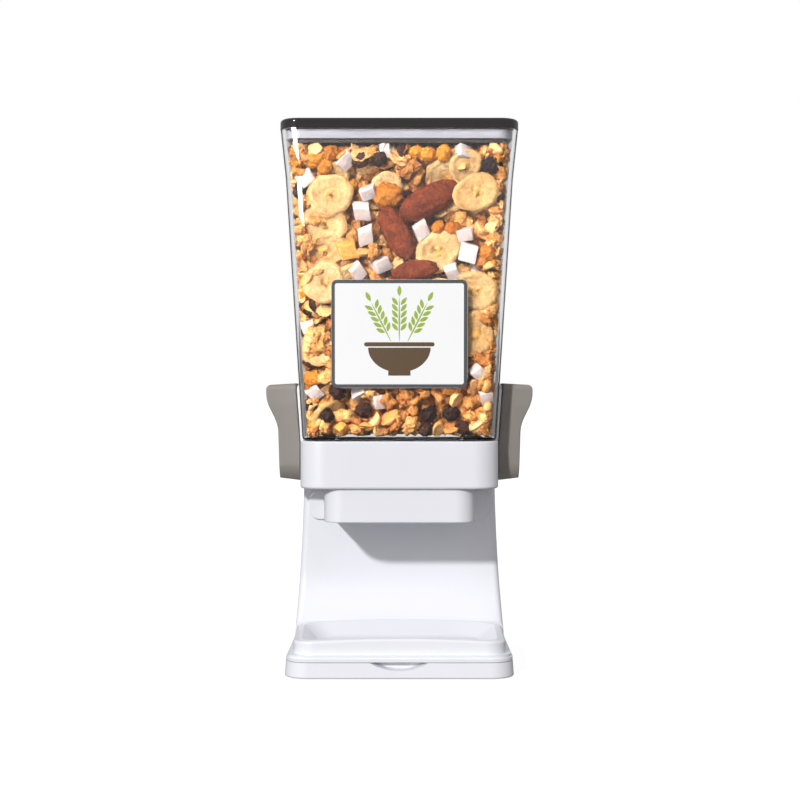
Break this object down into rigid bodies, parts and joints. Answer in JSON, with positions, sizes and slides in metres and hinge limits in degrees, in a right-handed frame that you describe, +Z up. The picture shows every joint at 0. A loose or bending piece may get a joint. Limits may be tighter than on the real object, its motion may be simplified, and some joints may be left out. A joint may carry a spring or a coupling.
{
  "type": "cereal dispenser",
  "caption": "Upright single-hopper cereal dispenser: clear tapered hopper with lid over a white collar, spout, column and base with catch tray, and paired side levers.",
  "frame": {"origin": "centre of the footprint, on the surface the dispenser stands on", "axes": "+Z up, -Y towards the front with the spout, +X to the right seen from the front"},
  "size_m": [0.2114, 0.1698, 0.425],
  "materials": {
    "white_plastic": "moulded satin-gloss white ABS",
    "taupe_plastic": "fine matte taupe grey plastic",
    "clear_plastic": "clear thick-walled moulded plastic",
    "smoke_plastic": "translucent smoke-grey glossy plastic",
    "gasket_rubber": "translucent grey silicone",
    "foot_rubber": "soft grey rubber",
    "label_paper": "white printed sticker",
    "steel": "zinc-plated steel"
  },
  "bodies": {
    "stand": {"base_ring": "white_plastic", "base_floor": "white_plastic", "base_cover": "white_plastic", "column_front": "white_plastic", "column_cover": "white_plastic", "collar": "white_plastic", "spout": "white_plastic", "spout_plate": "white_plastic", "feed_funnel": "white_plastic", "axle_bush_left": "white_plastic", "axle_bush_right": "white_plastic", "foot_1": "foot_rubber", "foot_2": "foot_rubber", "foot_3": "foot_rubber", "foot_4": "foot_rubber", "base_screw_1": "steel", "base_screw_2": "steel", "base_screw_3": "steel", "base_screw_4": "steel", "cover_screw_1": "steel", "cover_screw_2": "steel", "cover_screw_3": "steel", "cover_screw_4": "steel", "return_spring_left": "steel", "return_spring_right": "steel"},
    "hopper": {"hopper_tub": "clear_plastic", "hopper_label": "label_paper"},
    "lid": {"lid_cover": "smoke_plastic", "lid_plug": "smoke_plastic", "lid_gasket": "gasket_rubber"},
    "gate": {"gate_shutter": "white_plastic", "gate_axle_left": "steel", "gate_axle_right": "steel", "lever_left": "taupe_plastic", "lever_right": "taupe_plastic"},
    "tray": {"catch_tray": "white_plastic"}
  },
  "joints": [
    {"name": "lever_pull", "type": "hinge", "parent": "stand", "child": "gate", "pos_m": [0, 0, 0.16], "axis": [1, 0, 0], "range_deg": [0, 58], "stiffness_Nm_per_rad": 0.15, "springref_deg": -20.05, "deforming": ["return_spring_left", "return_spring_right"]},
    {"name": "hopper_lift", "type": "slide", "parent": "stand", "child": "hopper", "axis": [0, 0, 1], "range_m": [0, 0.06]},
    {"name": "lid_lift", "type": "slide", "parent": "hopper", "child": "lid", "axis": [0, 0, 1], "range_m": [0, 0.04]},
    {"name": "tray_lift", "type": "slide", "parent": "stand", "child": "tray", "axis": [0, 0, 1], "range_m": [0, 0.03]}
  ]
}
